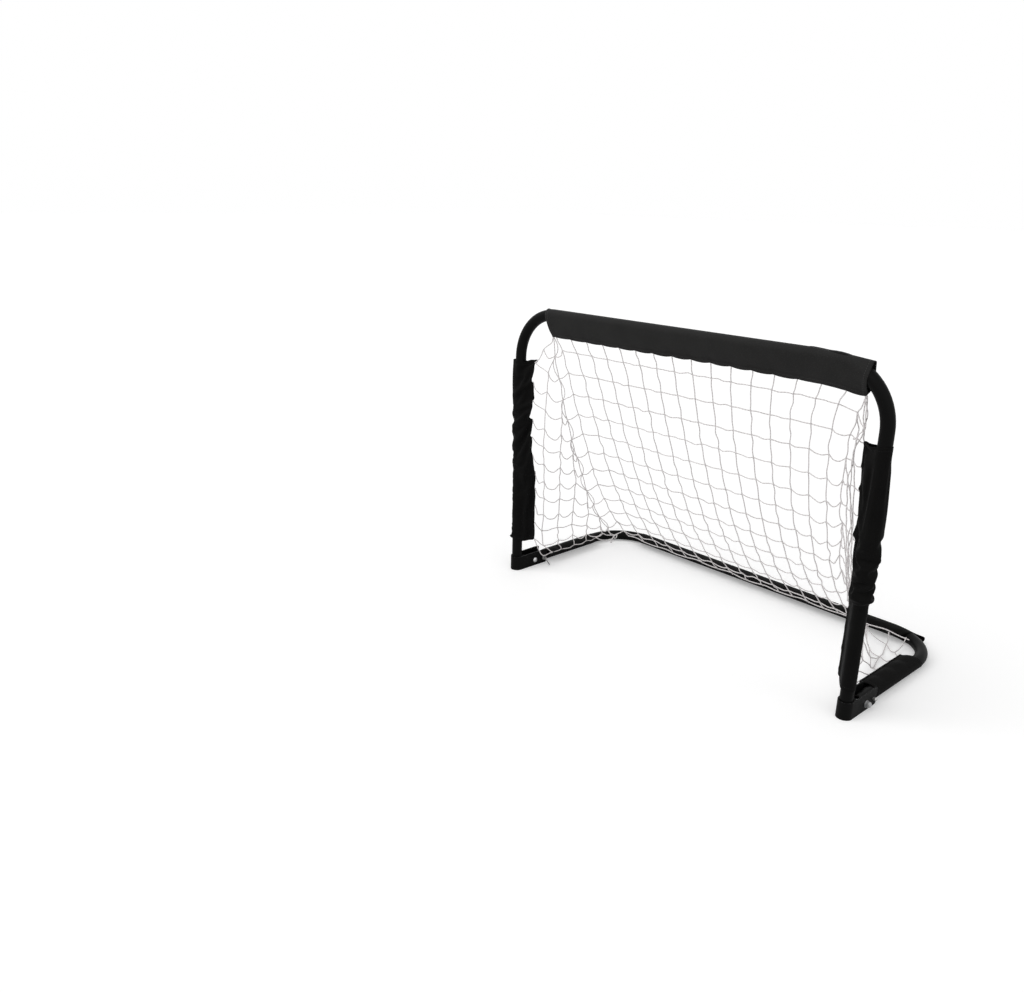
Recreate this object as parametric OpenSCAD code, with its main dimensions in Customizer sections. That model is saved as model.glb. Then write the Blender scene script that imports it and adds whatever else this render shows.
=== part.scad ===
// Fold-up mini goal: an upright goal frame and a floor frame of bent round tube,
// joined at two sheet-steel foot brackets, with sewn sleeves that carry a knotted net.
// Millimetres. +X runs along the crossbar, -Y is the mouth of the goal, +Z is up,
// and the origin is on the floor under the middle of the whole goal.

/* [Frame] */
// Width over the two posts
frame_w = 780; // [500:1:1200]
// Height of the crossbar's top edge above the floor
frame_h = 555; // [380:1:900]
// Depth over the posts and the rear bar
frame_d = 345; // [260:1:700]
// Outside diameter of the tube
tube_d = 21; // [18:0.5:26]
// Wall of the tube
tube_wall = 1.2; // [0.8:0.1:2]
// Radius of the two top bends, at the tube's axis
top_bend_r = 91; // [60:1:120]
// Radius of the two rear bends, at the tube's axis
rear_bend_r = 86; // [60:1:120]

/* [Foot brackets] */
// Height of the bracket
bracket_h = 30; // [28:1:45]
// Sheet thickness of the bracket
bracket_t = 2; // [1:0.1:3]
// Gap between the tube and the bracket's sheet on each side
bracket_gap = 0.3; // [0.1:0.05:0.6]
// From the post's axis back to the pivot bolt
pivot_back = 42; // [36:1:60]
// From the pivot bolt back to the lock pin
lock_back = 24; // [20:1:40]
// Sheet left behind the lock pin
cheek_end = 9; // [7:0.5:16]
// Rounding of the cheek's rear corners
cheek_corner_r = 4; // [1:0.5:6]
// Radius about the pivot to which the floor tube's end is rounded
tube_end_r = 11; // [8:0.5:11.5]

/* [Pivot bolts] */
// Shank diameter of the pivot bolt
bolt_d = 6; // [4:0.5:8]
// Running gap round the bolt, on the radius
bolt_gap = 0.08; // [0.02:0.01:0.1]
// Diameter of the bolt's domed head
bolt_head_d = 11; // [9:0.5:14]
// Height of the bolt's domed head
bolt_head_h = 3.3; // [2.5:0.1:5]
// Width across flats of the socket in the head
bolt_socket_af = 4; // [2.5:0.5:5]
// Depth of the socket
bolt_socket_depth = 2; // [1:0.1:3]
// How far the shank stands out of the nut
bolt_past_nut = 1; // [0.5:0.5:4]
// Width across flats of the nut
nut_af = 10; // [8:0.5:13]
// Height of the nut's hexagon
nut_h = 4.5; // [3:0.5:7]
// Height of the nut's collar
nut_collar_h = 1.5; // [0.5:0.1:3]
// Diameter of the nut's collar
nut_collar_d = 9; // [8:0.5:13]
// Thickness of the washer
washer_t = 1; // [0.6:0.1:2]
// Diameter of the washer
washer_d = 12; // [10:0.5:16]

/* [Lock pins] */
// Shank diameter of the lock pin
pin_d = 6; // [4:0.5:7]
// Gap round the lock pin, on the radius
pin_gap = 0.1; // [0.05:0.05:0.4]
// How far the pin's tip stands out of the outer cheek
pin_tip = 5; // [3:0.5:10]
// Length of the taper at the pin's tip
pin_taper = 1.5; // [0.5:0.5:2.5]
// Diameter of the pin's collar
pin_collar_d = 9; // [8:0.5:12]
// Thickness of the pin's collar
pin_collar_t = 2; // [1.5:0.5:4]
// From the collar to the ring's eye
eye_out = 3.6; // [3.4:0.1:6]
// Outside diameter of the flat eye
eye_d = 7; // [6:0.5:9]
// Thickness of the flat eye
eye_t = 3; // [2:0.5:4]
// Bore of the eye
eye_bore_d = 2.8; // [2.4:0.1:3.5]
// How far the pin is turned about its own axis, in degrees
eye_turn = 52; // [0:1:80]

/* [Pull rings] */
// Diameter of the ring at the middle of its wire
ring_d = 20; // [14:0.5:21]
// Wire diameter of the ring
ring_wire = 1.8; // [1.2:0.1:2.2]
// Gap between the leaning ring and the floor
ring_floor_gap = 0.3; // [0.1:0.1:1]

/* [Sleeves] */
// Thickness of the sleeve's cloth
cloth_t = 1.2; // [0.6:0.1:2]
// Gap between the tube and the cloth
cloth_gap = 0.3; // [0.2:0.05:1]
// Thickness of the sewn hem where the two layers meet
hem_t = 2.4; // [1.6:0.1:4]
// Height of the sewn hem
hem_h = 5; // [3:0.5:8]
// How far the crossbar sleeve runs over the left bend
bar_sleeve_over_left = 12; // [0:1:30]
// How far the crossbar sleeve runs over the right bend
bar_sleeve_over_right = 50; // [0:1:52]
// Crossbar sleeve: from the tube's axis to the hem
bar_drop = 40; // [30:1:60]
// Post sleeve: from the tube's axis to the hem
post_drop = 38; // [30:1:60]
// Lower end of the post sleeves above the floor
post_sleeve_low = 73; // [50:1:150]
// Gap between the post sleeve's upper end and the top bend
post_sleeve_top_gap = 6; // [0:1:60]
// Rear sleeve: from the tube's axis to the hem
rear_drop = 25; // [20:1:40]
// Rear sleeve: slope of the flap above level, in degrees
rear_rise = 12; // [0:1:40]
// How far the rear sleeve runs over each rear bend
rear_sleeve_over = 14; // [0:1:18]
// Side sleeve: from the tube's axis to the hem
side_drop = 29; // [22:1:45]
// Side sleeve: slope of the flap above level, in degrees
side_rise = 35; // [0:1:60]
// Slack of the loops that lie on straight tube
loop_slack = 2; // [1:0.5:6]
// Gap between the bracket's swing circle and the side sleeve
side_sleeve_gap = 2; // [1:0.5:60]

/* [Net] */
// Diameter of the net's cord
cord_d = 2; // [1.5:0.1:4]
// Pitch of the net's square mesh
mesh = 38; // [25:1:80]
// Diameter of the doubled cord along the side seams
seam_d = 4; // [3:0.5:6]
// Diameter of the lacing cord along the rear sleeve
lace_d = 3; // [2:0.5:5]
// Gap between the net and what it is sewn to
sew_gap = 0.3; // [0.1:0.05:0.6]

/* [Post plugs] */
// Thickness of the plug's flange, on which the post stands
plug_flange_t = 2; // [1:0.5:4]
// Depth of the plug inside the post
plug_depth = 14; // [8:1:25]
// Gap between the plug and the tube's bore
plug_gap = 0.1; // [0.05:0.05:0.3]

/* [Hidden] */
$fn = 64;
eps = 0.01;

tube_r = tube_d / 2;
bore_r = tube_r - tube_wall;
sleeve_in_r = tube_r + cloth_gap;
sleeve_r = sleeve_in_r + cloth_t;
bracket_in_r = tube_r + bracket_gap;
bracket_r = bracket_in_r + bracket_t;

axis_half_w = frame_w / 2 - tube_r;
axis_d = frame_d - tube_d;
bar_z = frame_h - tube_r;
base_z = sleeve_r;
// the front-most and rear-most surfaces lie at equal distances from the origin
post_y = -(axis_d + sleeve_r - bracket_r) / 2;
rear_y = post_y + axis_d;
pivot_y = post_y + pivot_back;
lock_y = pivot_y + lock_back;
cheek_len = pivot_back + lock_back + cheek_end;
post_top = bar_z - top_bend_r;
post_sleeve_top = post_top - post_sleeve_top_gap;
bar_half = axis_half_w - top_bend_r;
rear_half = axis_half_w - rear_bend_r;
side_end = rear_y - rear_bend_r;
slot_span = asin(min(1, (tube_r + pin_d) / lock_back));
// radius about the pivot that the cheeks reach, which the side sleeve swings past
cheek_reach = cheek_corner_r + norm([lock_back + cheek_end - cheek_corner_r,
                                     bracket_h - base_z - cheek_corner_r]);
side_sleeve_start = pivot_back + cheek_reach + side_sleeve_gap;
// the bend drops away from the crossbar sleeve's straight loop, which has to hold it
bend_drop = top_bend_r - sqrt(pow(top_bend_r, 2) - pow(bar_sleeve_over_right, 2));
bar_slack = bend_drop + tube_r * (top_bend_r / (top_bend_r - bend_drop) - 1);

bolt_r = bolt_d / 2;
pin_r = pin_d / 2;
pin_hole_r = pin_r + pin_gap;
eye_x = bracket_r + pin_collar_t + eye_out;
// the ring swings down about its eye until it rests on the floor
ring_fall = (base_z - ring_floor_gap - ring_wire / 2) / (ring_d / 2);
ring_swing = asin((pow(ring_fall, 2) - pow(sin(eye_turn), 2))
                  / (2 * ring_fall * cos(eye_turn)));

// hems of the post, side and rear sleeves, which carry the net
post_hem_x = axis_half_w - post_drop;
side_hem_x = axis_half_w - side_drop * cos(side_rise);
side_hem_z = base_z + side_drop * sin(side_rise);
rear_hem_y = rear_y - rear_drop * cos(rear_rise);
rear_hem_z = base_z + rear_drop * sin(rear_rise);
bar_hem_z = bar_z - bar_drop;

// corners of the net as on the right side: the left side mirrors them, and only its
// corner at the crossbar sleeve has a place of its own
net_off = cord_d / 2 + sew_gap;
net_x = post_hem_x;
net_y = post_y + hem_t / 2 + sew_gap;
net_bar_y = net_y + cord_d / 2;
net_bar_z = bar_hem_z + hem_t / 2;
net_bar_left = [bar_half + bar_sleeve_over_left, net_bar_y, net_bar_z];
net_bar_right = [bar_half + bar_sleeve_over_right, net_bar_y, net_bar_z];
net_post_top = [net_x, net_y, post_sleeve_top];
net_post_low = [net_x, net_y, post_sleeve_low];
net_side = [side_hem_x - net_off, side_end, side_hem_z];
net_side_low = [net_x + (net_side[0] - net_x) * (post_y + side_sleeve_start - net_y)
                / (side_end - net_y), post_y + side_sleeve_start, net_side[2]];
lace_y = rear_hem_y - lace_d / 2 - sew_gap;
net_rear = [rear_half, lace_y, rear_hem_z];
seam_clear_r = seam_d / 2 + sew_gap;
lace_clear_r = lace_d / 2 + sew_gap;

steel_black = "#1a1a1b";
cloth_black = "#1f1e20";
zinc = "#a9abad";
cord_grey = "#c6c1bd";
plastic_black = "#161616";

// ---- tubes ----------------------------------------------------------------

module tube_section() {
    difference() {
        circle(tube_r);
        circle(bore_r);
    }
}

module straight_tube(length) {
    linear_extrude(length) tube_section();
}

// a quarter bend in the XY plane, from the +X axis round to the +Y axis
module tube_bend(radius) {
    rotate_extrude(angle = 90) translate([radius, 0]) tube_section();
}

// the upright frame: one tube bent into an upside-down U, standing on its plugs
module front_frame() {
    color(steel_black) translate([0, post_y, 0]) {
        for (side = [-1, 1])
            translate([side * axis_half_w, 0, plug_flange_t])
                straight_tube(post_top - plug_flange_t);
        for (side = [0, 1]) mirror([side, 0, 0])
            translate([bar_half, 0, post_top]) rotate([90, 0, 0]) tube_bend(top_bend_r);
        translate([-bar_half, 0, bar_z]) rotate([0, 90, 0]) straight_tube(2 * bar_half);
    }
}

// the floor frame: one tube bent into a U, its two ends rounded about the pivots
module base_frame() {
    end_y = pivot_y - tube_end_r;
    color(steel_black) difference() {
        translate([0, 0, base_z]) {
            for (side = [-1, 1])
                translate([side * axis_half_w, end_y, 0]) rotate([-90, 0, 0])
                    straight_tube(side_end - end_y);
            for (side = [0, 1]) mirror([side, 0, 0])
                translate([rear_half, side_end, 0]) tube_bend(rear_bend_r);
            translate([-rear_half, rear_y, 0]) rotate([0, 90, 0])
                straight_tube(2 * rear_half);
        }
        for (side = [-1, 1]) translate([side * axis_half_w, pivot_y, base_z])
            rotate([0, 90, 0]) {
                cylinder(r = bolt_r + bolt_gap, h = 2 * bracket_r, center = true);
                lock_slot();
                tube_end_cut();
            }
    }
}

// the path of the lock pin past the tube while the floor frame folds up
module lock_slot() {
    slot_h = 2 * bracket_r;
    translate([0, lock_back, 0])
        cylinder(r = pin_hole_r, h = slot_h, center = true);
    rotate([0, 0, 90]) translate([0, 0, -slot_h / 2])
        rotate_extrude(angle = -slot_span)
            translate([lock_back - pin_hole_r, 0]) square([2 * pin_hole_r, slot_h]);
}

// what lies outside the rounding of the tube's end, in front of the pivot
module tube_end_cut() {
    difference() {
        translate([-2 * tube_r, -2 * tube_r, -bracket_r])
            cube([4 * tube_r, 2 * tube_r, 2 * bracket_r]);
        cylinder(r = tube_end_r, h = 3 * bracket_r, center = true);
    }
}

// ---- foot brackets and their fasteners, made at the foot's axis, +X inward ------

// places what is made for the right foot, whose inner side faces -X
module at_foot(side) {
    if (side > 0)
        translate([axis_half_w, post_y, 0]) mirror([1, 0, 0]) children();
    else
        translate([-axis_half_w, post_y, 0]) children();
}

// sheet steel wrapped round the post, with two cheeks beside the floor tube
module bracket() {
    color(steel_black) difference() {
        intersection() {
            linear_extrude(bracket_h) difference() {
                bracket_plan(bracket_r, cheek_len);
                bracket_plan(bracket_in_r, cheek_len + 1);
            }
            rotate([90, 0, 90]) linear_extrude(2 * bracket_r, center = true) cheek_outline();
        }
        for (hole = [[pivot_back, bolt_r + bolt_gap], [pivot_back + lock_back, pin_hole_r]])
            translate([0, hole[0], base_z]) rotate([0, 90, 0])
                cylinder(r = hole[1], h = 3 * bracket_r, center = true);
    }
}

module bracket_plan(radius, length) {
    circle(radius);
    translate([-radius, 0]) square([2 * radius, length]);
}

// side view of the bracket: square at the post, rounded at the rear corners
module cheek_outline() {
    translate([-bracket_r, 0])
        square([bracket_r + cheek_len - cheek_corner_r, bracket_h]);
    translate([0, cheek_corner_r])
        square([cheek_len, bracket_h - 2 * cheek_corner_r]);
    for (z = [cheek_corner_r, bracket_h - cheek_corner_r])
        translate([cheek_len - cheek_corner_r, z]) circle(cheek_corner_r);
}

// domed bolt, its head on the inner cheek
module pivot_bolt() {
    shank = 2 * bracket_r + washer_t + nut_h + nut_collar_h + bolt_past_nut;
    dome_r = (pow(bolt_head_d / 2, 2) + pow(bolt_head_h, 2)) / (2 * bolt_head_h);
    color(zinc) translate([bracket_r, pivot_back, base_z]) rotate([0, 90, 0])
        difference() {
            union() {
                translate([0, 0, -shank]) cylinder(r = bolt_r, h = shank + eps);
                intersection() {
                    translate([0, 0, bolt_head_h - dome_r]) sphere(dome_r);
                    cylinder(d = bolt_head_d + 1, h = bolt_head_h + 1);
                }
            }
            translate([0, 0, bolt_head_h - bolt_socket_depth])
                cylinder(d = bolt_socket_af / cos(30), h = bolt_head_h, $fn = 6);
        }
}

module bolt_washer() {
    color(zinc) translate([-bracket_r - washer_t, pivot_back, base_z])
        rotate([0, 90, 0]) difference() {
            cylinder(d = washer_d, h = washer_t);
            translate([0, 0, -1]) cylinder(r = bolt_r + 2 * bolt_gap, h = washer_t + 2);
        }
}

// lock nut with a round collar at its outer end
module pivot_nut() {
    color(zinc) translate([-bracket_r - washer_t, pivot_back, base_z])
        rotate([0, -90, 0]) difference() {
            union() {
                cylinder(d = nut_af / cos(30), h = nut_h, $fn = 6);
                cylinder(d = nut_collar_d, h = nut_h + nut_collar_h);
            }
            translate([0, 0, -1]) cylinder(r = bolt_r + bolt_gap, h = nut_h + nut_collar_h + 2);
        }
}

// pull-out pin: shank with a tapered tip, collar, neck and flat eye
module lock_pin() {
    shank = 2 * bracket_r + pin_tip - pin_taper;
    color(zinc) translate([bracket_r, pivot_back + lock_back, base_z]) {
        rotate([0, -90, 0]) {
            translate([0, 0, -eps]) cylinder(r = pin_r, h = shank + eps);
            translate([0, 0, shank - eps])
                cylinder(r1 = pin_r, r2 = pin_r - pin_taper, h = pin_taper + eps);
        }
        rotate([0, 90, 0]) cylinder(d = pin_collar_d, h = pin_collar_t);
        translate([pin_collar_t + eye_out, 0, 0]) rotate([-eye_turn, 0, 0])
            rotate([90, 0, 0]) difference() {
                union() {
                    cylinder(d = eye_d, h = eye_t, center = true);
                    translate([-eye_out - eps, -eye_d / 4, -eye_t / 2])
                        cube([eye_out, eye_d / 2, eye_t]);
                }
                cylinder(d = eye_bore_d, h = eye_t + 2, center = true);
            }
    }
}

// wire ring through the pin's eye, leaning over until it rests near the floor
module pull_ring() {
    color(zinc) translate([eye_x, pivot_back + lock_back, base_z])
        rotate([-eye_turn, 0, 0]) rotate([0, ring_swing, 0]) translate([ring_d / 2, 0, 0])
            rotate_extrude() translate([ring_d / 2, 0]) circle(d = ring_wire, $fn = 24);
}

// plastic plug in the open lower end of the post
module post_plug() {
    color(plastic_black) {
        cylinder(r = tube_r, h = plug_flange_t);
        cylinder(r = bore_r - plug_gap, h = plug_flange_t + plug_depth);
    }
}

// ---- sleeves --------------------------------------------------------------

// outline round two circles of different radius on the -Y axis, by their tangents
module tapered_loop(r_top, r_low, y_top, y_low) {
    lean = asin((r_top - r_low) / (y_top - y_low));
    translate([0, y_top]) circle(r_top);
    translate([0, y_low]) circle(r_low);
    polygon([
        [r_top * cos(lean), y_top - r_top * sin(lean)],
        [-r_top * cos(lean), y_top - r_top * sin(lean)],
        [-r_low * cos(lean), y_low - r_low * sin(lean)],
        [r_low * cos(lean), y_low - r_low * sin(lean)]
    ]);
}

module loop_outline(radius, slack, low_r, low_y) {
    circle(radius);
    translate([-radius, -slack]) square([2 * radius, slack]);
    tapered_loop(radius, low_r, -slack, low_y);
}

// cloth folded over a tube and sewn to itself at the hem, which lies on -Y
module sleeve_section(drop, slack) {
    hem_r = hem_t / 2;
    difference() {
        loop_outline(sleeve_r, slack, hem_r, -drop + hem_r);
        loop_outline(sleeve_in_r, slack, cloth_gap, -drop + hem_h + cloth_gap);
    }
}

module crossbar_sleeve() {
    color(cloth_black) translate([bar_half + bar_sleeve_over_right, post_y, bar_z])
        rotate([90, 0, -90])
            linear_extrude(2 * bar_half + bar_sleeve_over_left + bar_sleeve_over_right)
                sleeve_section(bar_drop, bar_slack);
}

module post_sleeve() {
    color(cloth_black) translate([0, 0, post_sleeve_low])
        linear_extrude(post_sleeve_top - post_sleeve_low)
            rotate(90) sleeve_section(post_drop, loop_slack);
}

module rear_sleeve() {
    half = rear_half + rear_sleeve_over;
    color(cloth_black) translate([half, rear_y, base_z])
        rotate([90, 0, -90]) linear_extrude(2 * half)
            rotate(90 + rear_rise) sleeve_section(rear_drop, loop_slack);
}

module side_sleeve() {
    color(cloth_black) translate([0, side_sleeve_start, base_z]) rotate([-90, 0, 0])
        linear_extrude(side_end - post_y - side_sleeve_start)
            rotate(90 - side_rise) sleeve_section(side_drop, loop_slack);
}

// ---- net ------------------------------------------------------------------

function unit(v) = v / norm(v);

// corner between two edges of a convex outline, moved inward by d
function inset_corner(before, corner, after, d) =
    let (e1 = unit(corner - before), e2 = unit(after - corner),
         n1 = [-e1[1], e1[0]], n2 = [-e2[1], e2[0]])
    corner + d * (n1 + n2) / (1 + n1 * n2);

function inset(outline, d) =
    let (n = len(outline))
    [for (i = [0:n - 1])
        inset_corner(outline[(i + n - 1) % n], outline[i], outline[(i + 1) % n], d)];

// flat netting inside convex corners that lie in one plane, its meshes along the first edge
module net_panel(corners) {
    ex = unit(corners[1] - corners[0]);
    ez = unit(cross(ex, corners[2] - corners[0]));
    ey = cross(ez, ex);
    outline = [for (p = corners) [(p - corners[0]) * ex, (p - corners[0]) * ey]];
    xs = [for (p = outline) p[0]];
    ys = [for (p = outline) p[1]];
    hole = mesh - cord_d;
    multmatrix([
        [ex[0], ey[0], ez[0], corners[0][0]],
        [ex[1], ey[1], ez[1], corners[0][1]],
        [ex[2], ey[2], ez[2], corners[0][2]],
        [0, 0, 0, 1]
    ])
        linear_extrude(cord_d, center = true) difference() {
            polygon(outline);
            intersection() {
                polygon(inset(outline, cord_d));
                for (i = [floor(min(xs) / mesh):ceil(max(xs) / mesh)])
                    for (j = [floor(min(ys) / mesh):ceil(max(ys) / mesh)])
                        translate([(i + 0.5) * mesh - hole / 2, (j + 0.5) * mesh - hole / 2])
                            square(hole);
            }
        }
}

module rod(from, to, radius, over = 0) {
    axis = to - from;
    length = norm(axis);
    translate(from) rotate([0, acos(axis[2] / length), atan2(axis[1], axis[0])])
        translate([0, 0, -over]) cylinder(r = radius, h = length + 2 * over);
}

function flip(p) = [-p[0], p[1], p[2]];

module back_net() {
    color(cord_grey) difference() {
        net_panel([flip(net_rear), net_rear, net_bar_right, flip(net_bar_left)]);
        rod(net_rear, net_bar_right, seam_clear_r, over = 2 * seam_d);
        rod(flip(net_rear), flip(net_bar_left), seam_clear_r, over = 2 * seam_d);
        rod(flip(net_rear), net_rear, lace_clear_r, over = 2 * lace_d);
    }
}

// the side of the net up to its corner at the crossbar sleeve: one flat part along
// the post and one out to the rear corner, and the net under the top bend goes with
// the part whose plane it lies nearer to
module side_net(bar_corner, bend_with_rear) {
    along_post = [net_post_low, net_side_low, net_side];
    to_rear = [net_side, net_rear, bar_corner];
    color(cord_grey) difference() {
        union() {
            net_panel(concat(along_post, bend_with_rear ? [] : [bar_corner], [net_post_top]));
            net_panel(concat(to_rear, bend_with_rear ? [net_post_top] : []));
        }
        rod(net_rear, bar_corner, seam_clear_r, over = 2 * seam_d);
        rod(flip(net_rear), net_rear, lace_clear_r, over = 2 * lace_d);
    }
}

module seam_cord(bar_corner) {
    along = unit(bar_corner - net_rear);
    color(cord_grey) rod(net_rear + along * (lace_clear_r + seam_d / 2),
                         bar_corner - along * seam_d / 2, seam_d / 2);
}

module rear_lacing_cord() {
    color(cord_grey) rod(flip(net_rear), net_rear, lace_d / 2);
}

// ---- nodes ----------------------------------------------------------------

front_frame();
base_frame();
at_foot(-1) bracket();  // left_bracket
at_foot(1) bracket();  // right_bracket
at_foot(-1) pivot_bolt();  // left_pivot_bolt
at_foot(1) pivot_bolt();  // right_pivot_bolt
at_foot(-1) bolt_washer();  // left_bolt_washer
at_foot(1) bolt_washer();  // right_bolt_washer
at_foot(-1) pivot_nut();  // left_pivot_nut
at_foot(1) pivot_nut();  // right_pivot_nut
at_foot(-1) lock_pin();  // left_lock_pin
at_foot(1) lock_pin();  // right_lock_pin
at_foot(-1) pull_ring();  // left_pull_ring
at_foot(1) pull_ring();  // right_pull_ring
at_foot(-1) post_plug();  // left_post_plug
at_foot(1) post_plug();  // right_post_plug
crossbar_sleeve();
at_foot(-1) post_sleeve();  // left_post_sleeve
at_foot(1) post_sleeve();  // right_post_sleeve
rear_sleeve();
at_foot(-1) side_sleeve();  // left_side_sleeve
at_foot(1) side_sleeve();  // right_side_sleeve
back_net();
mirror([1, 0, 0]) side_net(net_bar_left, true);  // left_side_net
side_net(net_bar_right, false);  // right_side_net
mirror([1, 0, 0]) seam_cord(net_bar_left);  // left_seam_cord
seam_cord(net_bar_right);  // right_seam_cord
rear_lacing_cord();
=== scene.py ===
import bpy
import numpy as np
from mathutils import Matrix


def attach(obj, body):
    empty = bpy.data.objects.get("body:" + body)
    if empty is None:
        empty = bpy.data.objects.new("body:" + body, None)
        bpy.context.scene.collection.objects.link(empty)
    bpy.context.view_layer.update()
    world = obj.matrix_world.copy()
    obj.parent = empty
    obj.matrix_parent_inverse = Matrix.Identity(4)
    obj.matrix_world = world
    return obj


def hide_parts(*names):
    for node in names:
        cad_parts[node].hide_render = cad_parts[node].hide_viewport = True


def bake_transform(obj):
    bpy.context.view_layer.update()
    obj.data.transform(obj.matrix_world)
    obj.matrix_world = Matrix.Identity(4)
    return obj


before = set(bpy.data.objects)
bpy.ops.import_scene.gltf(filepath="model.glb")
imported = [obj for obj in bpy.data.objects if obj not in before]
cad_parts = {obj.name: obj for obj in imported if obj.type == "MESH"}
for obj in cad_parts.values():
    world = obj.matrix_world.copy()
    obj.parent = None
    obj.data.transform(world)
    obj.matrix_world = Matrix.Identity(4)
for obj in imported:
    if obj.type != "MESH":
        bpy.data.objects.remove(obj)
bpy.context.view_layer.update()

# ---- Studio --------------------------------------------------------------------------
# A pale floor in a white room, with a wide soft lamp over the mouth of the goal and a
# weaker one from its right. The camera stands before the right post, at table height.
eye = np.array([0.9405, -1.3654, 0.7555])
turn, dip, lean = 0.83864, 0.32059, 0.01867
ahead = np.array([-np.sin(turn) * np.cos(dip), np.cos(turn) * np.cos(dip), -np.sin(dip)])
level = np.cross(ahead, [0, 0, 1])
level /= np.linalg.norm(level)
above = np.cross(level, ahead)
across = np.cos(lean) * level + np.sin(lean) * above
upward = np.cos(lean) * above - np.sin(lean) * level

camera = bpy.data.objects.new("camera", bpy.data.cameras.new("camera"))
camera.data.lens = 31.71
camera.data.sensor_width = 36
camera.data.sensor_fit = "HORIZONTAL"
camera.matrix_world = Matrix.Translation(eye) @ Matrix(
    np.array([across, upward, -ahead]).T
).to_4x4()
bpy.context.collection.objects.link(camera)
bpy.context.scene.camera = camera
bpy.context.scene.view_settings.view_transform = "Standard"

for name, strength, spread, direction in (
    ("mouth_lamp", 1.45, 50, (0.35, 0.85, -1.0)),
    ("right_lamp", 0.55, 70, (-0.9, 0.25, -0.6)),
):
    lamp = bpy.data.objects.new(name, bpy.data.lights.new(name, "SUN"))
    lamp.data.energy = strength
    lamp.data.angle = np.radians(spread)
    facing = -np.array(direction) / np.linalg.norm(direction)
    side = np.cross([0, 0, 1], facing)
    side /= np.linalg.norm(side)
    lamp.matrix_world = Matrix(np.array([side, np.cross(facing, side), facing]).T).to_4x4()
    bpy.context.collection.objects.link(lamp)

room = bpy.data.worlds.new("room")
room.use_nodes = True
bpy.context.scene.world = room
seen = room.node_tree.nodes.new("ShaderNodeLightPath")
shown = seen.outputs["Is Camera Ray"]
for kind in ("Is Glossy Ray", "Is Transmission Ray"):
    either = room.node_tree.nodes.new("ShaderNodeMath")
    either.operation = "MAXIMUM"
    room.node_tree.links.new(shown, either.inputs[0])
    room.node_tree.links.new(seen.outputs[kind], either.inputs[1])
    shown = either.outputs[0]
glow = room.node_tree.nodes.new("ShaderNodeMapRange")
glow.inputs["To Min"].default_value = 0.48
glow.inputs["To Max"].default_value = 1.0
room.node_tree.links.new(shown, glow.inputs["Value"])
room.node_tree.links.new(glow.outputs[0], room.node_tree.nodes["Background"].inputs["Strength"])
room.node_tree.nodes["Background"].inputs["Color"].default_value = (1, 1, 1, 1)

floor = bpy.data.objects.new("floor", bpy.data.meshes.new("floor"))
floor.data.from_pydata(
    [(-30, -30, 0), (30, -30, 0), (30, 30, 0), (-30, 30, 0)], [], [(0, 1, 2, 3)]
)
bpy.context.collection.objects.link(floor)


# ---- Finishes ------------------------------------------------------------------------
# The floor takes the first finish: white paint that keeps the goal's soft shadow.
class Tone:
    """One output of a finish's nodes; sums and products of tones add Math nodes."""

    def __init__(self, finish, node, out):
        self.finish, self.node, self.socket = finish, node, node.outputs[out]

    def math(self, operation, *values):
        return self.finish.node("Math", {"operation": operation}, dict(enumerate(values)))

    def __add__(self, other):
        return self.math("ADD", self, other)

    def __radd__(self, other):
        return self.math("ADD", other, self)

    def __sub__(self, other):
        return self.math("SUBTRACT", self, other)

    def __rsub__(self, other):
        return self.math("SUBTRACT", other, self)

    def __mul__(self, other):
        return self.math("MULTIPLY", self, other)

    def __rmul__(self, other):
        return self.math("MULTIPLY", other, self)

    def __truediv__(self, other):
        return self.math("DIVIDE", self, other)

    def wave(self, pitch):
        """1 at every pitch, 0 between."""
        return self.math("SINE", self * (2 * np.pi / pitch)) * 0.5 + 0.5

    def above(self, low, high):
        """0 below low, 1 above high, smooth between."""
        return self.finish.node(
            "MapRange",
            {"interpolation_type": "SMOOTHSTEP"},
            {"Value": self, "From Min": low, "From Max": high},
        )

    def size(self):
        return self.math("ABSOLUTE", self)

    def larger(self, other):
        return self.math("MAXIMUM", self, other)

    def part(self, name):
        """Another output of the node this tone comes from."""
        return Tone(self.finish, self.node, name)


class Finish:
    """A material of this goal."""

    def __init__(self, name):
        self.material = bpy.data.materials.new(name)
        self.material.use_nodes = True
        self.tree = self.material.node_tree

    def feed(self, socket, value):
        if isinstance(value, Tone):
            self.tree.links.new(value.socket, socket)
        else:
            socket.default_value = value

    def node(self, kind, settings, sockets, out=0):
        made = self.tree.nodes.new("ShaderNode" + kind)
        for setting, value in settings.items():
            setattr(made, setting, value)
        for socket, value in sockets.items():
            self.feed(made.inputs[socket], value)
        return Tone(self, made, out)

    def place(self):
        return self.node("TexCoord", {}, {}, "Object")

    def stretched(self, place, scale):
        return self.node("Mapping", {}, {"Vector": place, "Scale": scale})

    def grain(self, place, scale, detail=3.0, rough=0.55):
        return self.node(
            "TexNoise", {}, {"Vector": place, "Scale": scale, "Detail": detail, "Roughness": rough}
        )

    def blend(self, share, first, second):
        return self.node("Mix", {"data_type": "RGBA"}, {0: share, 6: first, 7: second}, 2)

    def relief(self, height, depth, strength=1.0, under=None):
        sockets = {"Height": height, "Distance": depth, "Strength": strength}
        if under is not None:
            sockets["Normal"] = under
        return self.node("Bump", {}, sockets)

    def surface(self, **sockets):
        shader = self.tree.nodes["Principled BSDF"]
        for name, value in sockets.items():
            self.feed(shader.inputs[name.replace("_", " ")], value)


def grey(value, warm=0.0):
    return (value * (1 + warm), value, value * (1 - warm), 1)


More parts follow.
